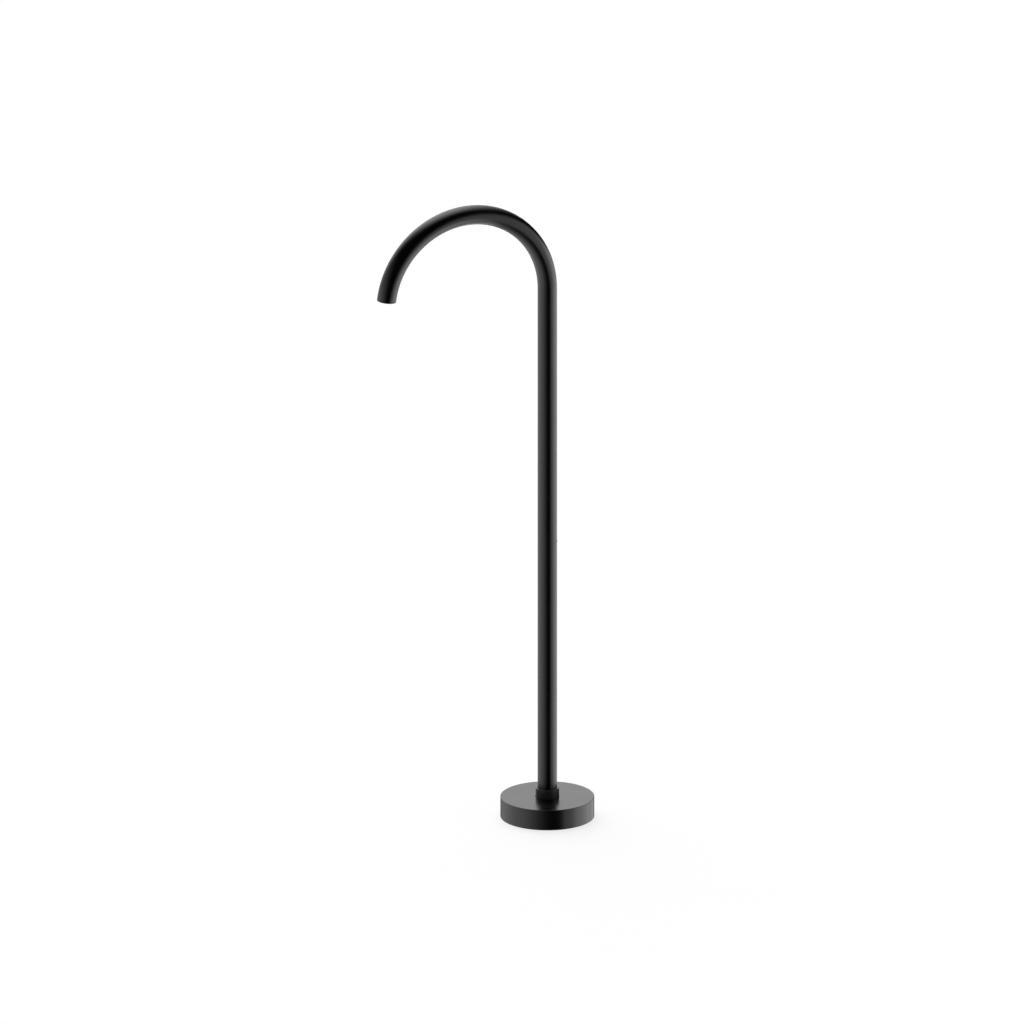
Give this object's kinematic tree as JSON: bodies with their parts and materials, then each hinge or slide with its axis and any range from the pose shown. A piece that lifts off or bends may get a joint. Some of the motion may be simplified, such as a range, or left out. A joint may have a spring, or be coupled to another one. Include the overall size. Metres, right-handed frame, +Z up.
{
  "type": "floor standing bath filler",
  "caption": "Floor standing bath spout: one bent tube that swivels in a floor socket, with a round cover that lifts off the floor and an aerator that screws out.",
  "frame": {"origin": "on the riser's axis at floor level, at the centre of the floor bolts' circle", "axes": "+Z up along the riser, -X from the riser towards the outlet, Y across the bend's plane"},
  "size_m": [0.3862, 0.155, 1.079],
  "materials": {
    "black_coating": "satin black coating on metal",
    "turned_brass": "turned, uncoated",
    "aerator_metal": "satin black coating on metal",
    "flange_steel": "turned stainless steel",
    "screw_steel": "plain stainless steel",
    "mesh_steel": "fine stainless mesh",
    "black_rubber": "matt rubber",
    "white_plastic": "smooth low-friction plastic"
  },
  "bodies": {
    "floor_mount": {"floor_gasket": "black_rubber", "floor_flange": "flange_steel", "levelling_screws": "screw_steel", "floor_socket": "turned_brass", "inlet_strainer": "mesh_steel", "socket_screws": "screw_steel", "slip_ring_lower": "white_plastic", "swivel_collar": "black_coating", "collar_wiper_ring": "black_rubber", "collar_lock_screw": "screw_steel"},
    "spout": {"spout_tube": "black_coating", "riser_plug": "black_coating", "spout_spigot": "turned_brass", "spigot_o_ring_lower": "black_rubber", "spigot_o_ring_upper": "black_rubber", "split_ring": "turned_brass", "slip_ring_upper": "white_plastic", "outlet_bush": "turned_brass"},
    "cover": {"base_cover": "black_coating", "cover_grip_ring": "black_rubber"},
    "washer": {"aerator_washer": "black_rubber"},
    "aerator": {"aerator_housing": "aerator_metal", "aerator_insert": "white_plastic", "aerator_screen": "mesh_steel"}
  },
  "joints": [
    {"name": "spout_swivel", "type": "hinge", "parent": "floor_mount", "child": "spout", "pos_m": [0, 0, 0.04], "axis": [0, 0, 1], "continuous": true},
    {"name": "cover_lift", "type": "slide", "parent": "floor_mount", "child": "cover", "axis": [0, 0, 1], "range_m": [0, 0.86]},
    {"name": "aerator_travel", "type": "slide", "parent": "spout", "child": "washer", "axis": [-0.1245, 0, -0.9922], "range_m": [0, 0.009]},
    {"name": "aerator_turn", "type": "hinge", "parent": "washer", "child": "aerator", "pos_m": [-0.29286, 0, 0.9343], "axis": [-0.1245, 0, -0.9922], "range_deg": [0, 3240]}
  ],
  "couplings": [
    {"joint": "aerator_turn", "follows": "aerator_travel", "rad_per_m": 6283.2}
  ]
}
